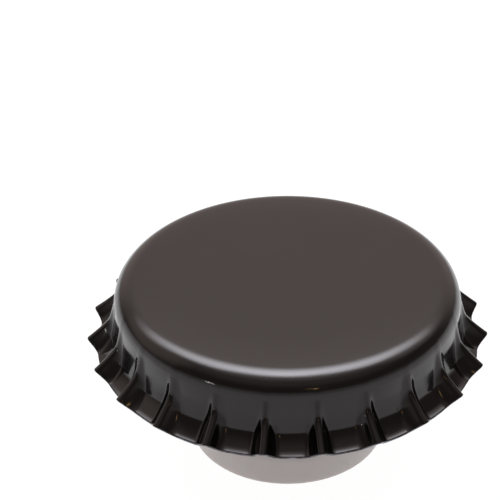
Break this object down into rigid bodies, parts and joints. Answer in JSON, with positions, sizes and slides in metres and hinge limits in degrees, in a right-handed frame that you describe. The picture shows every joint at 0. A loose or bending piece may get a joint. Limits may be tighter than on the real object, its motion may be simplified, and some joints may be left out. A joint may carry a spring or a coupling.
{
  "type": "bottle cap",
  "caption": "Bottle cap of the crown kind, with a fluted sheet-metal skirt, a sealing liner and a hollow plastic stopper cup that plugs the bottle's bore.",
  "frame": {"origin": "centre of the stopper cup's open rim, which the cap stands on", "axes": "+Z along the cap's axis, up through the top panel; +X and +Y are across the cap, with the first tooth 13 degrees from +X"},
  "size_m": [0.035, 0.0349, 0.016],
  "materials": {
    "lacquered_tinplate": "gloss black lacquer with a fine orange peel outside, clear silver lacquer inside",
    "liner_plastic": "satin white moulded polyethylene",
    "cup_plastic": "satin translucent white moulded polyethylene"
  },
  "bodies": {
    "root": {"crown_shell": "lacquered_tinplate", "sealing_liner": "liner_plastic", "stopper_cup": "cup_plastic"}
  },
  "joints": []
}
